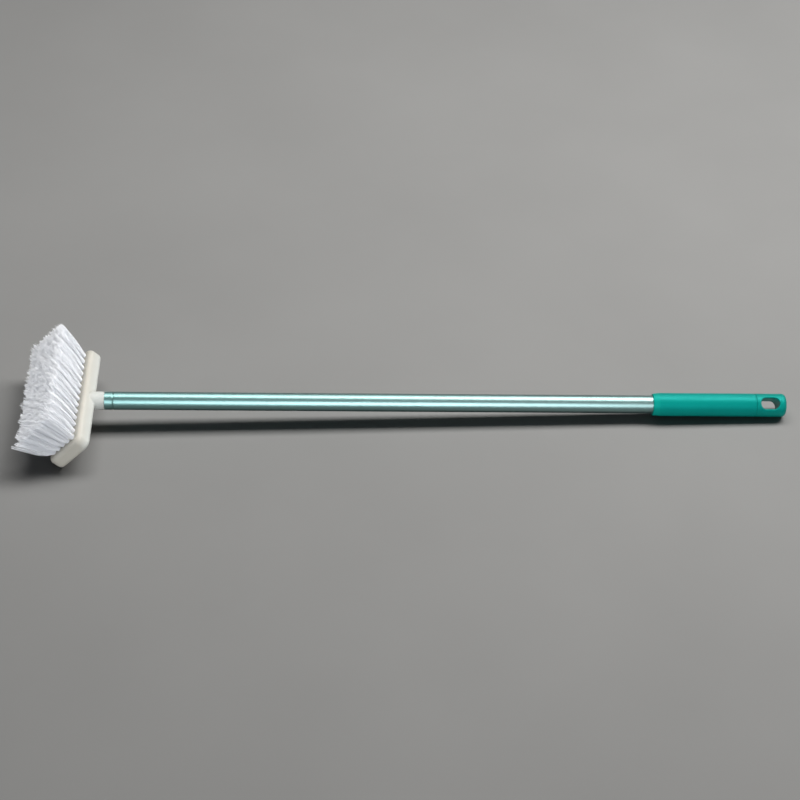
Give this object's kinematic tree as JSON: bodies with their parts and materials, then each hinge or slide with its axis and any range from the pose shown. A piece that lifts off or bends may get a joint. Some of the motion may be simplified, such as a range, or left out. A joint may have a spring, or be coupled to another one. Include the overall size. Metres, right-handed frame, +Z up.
{
  "type": "pool wall brush",
  "caption": "Brush with an angled rectangular head of flared white bristles on a straight teal metal handle with a moulded grip and a hanging hole, for scrubbing pool walls.",
  "frame": {"origin": "on the handle axis, at the middle of the grip's barrel, where the brush is held; the head end of the tube is 831.3 mm away along -X", "axes": "+X along the handle from the head towards the grip, +Y along the length of the head, +Z up; the bristles point towards -X and +Z, 43.2 degrees above -X"},
  "size_m": [1.0517, 0.2052, 0.0957],
  "materials": {
    "cream_plastic": "semi-gloss moulded",
    "bristle": "drawn white filament",
    "anchor_wire": "flat drawn wire",
    "washer_plastic": "matte",
    "anodised_tube": "satin teal anodised",
    "plug_plastic": "moulded",
    "grip_plastic": "satin moulded",
    "cap_plastic": "satin moulded"
  },
  "bodies": {
    "head": {"brush_block": "cream_plastic", "tuft_rank_01": "bristle", "tuft_rank_02": "bristle", "tuft_rank_03": "bristle", "tuft_rank_04": "bristle", "tuft_rank_05": "bristle", "tuft_rank_06": "bristle", "tuft_rank_07": "bristle", "tuft_rank_08": "bristle", "tuft_rank_09": "bristle", "tuft_rank_10": "bristle", "tuft_rank_11": "bristle", "tuft_rank_12": "bristle", "tuft_rank_13": "bristle", "tuft_rank_14": "bristle", "tuft_anchors": "anchor_wire"},
    "washer": {"neck_washer": "washer_plastic"},
    "handle": {"handle_tube": "anodised_tube", "threaded_plug": "plug_plastic", "grip_sleeve": "grip_plastic", "hang_cap": "cap_plastic"}
  },
  "joints": [
    {"name": "thread_travel", "type": "slide", "parent": "head", "child": "washer", "axis": [1, 0, 0], "range_m": [0, 0.01875]},
    {"name": "handle_unscrew", "type": "hinge", "parent": "washer", "child": "handle", "pos_m": [-0.8313, 0, 0], "axis": [1, 0, 0], "range_deg": [0, 1350]}
  ],
  "couplings": [
    {"joint": "handle_unscrew", "follows": "thread_travel", "rad_per_m": 1256.6}
  ]
}
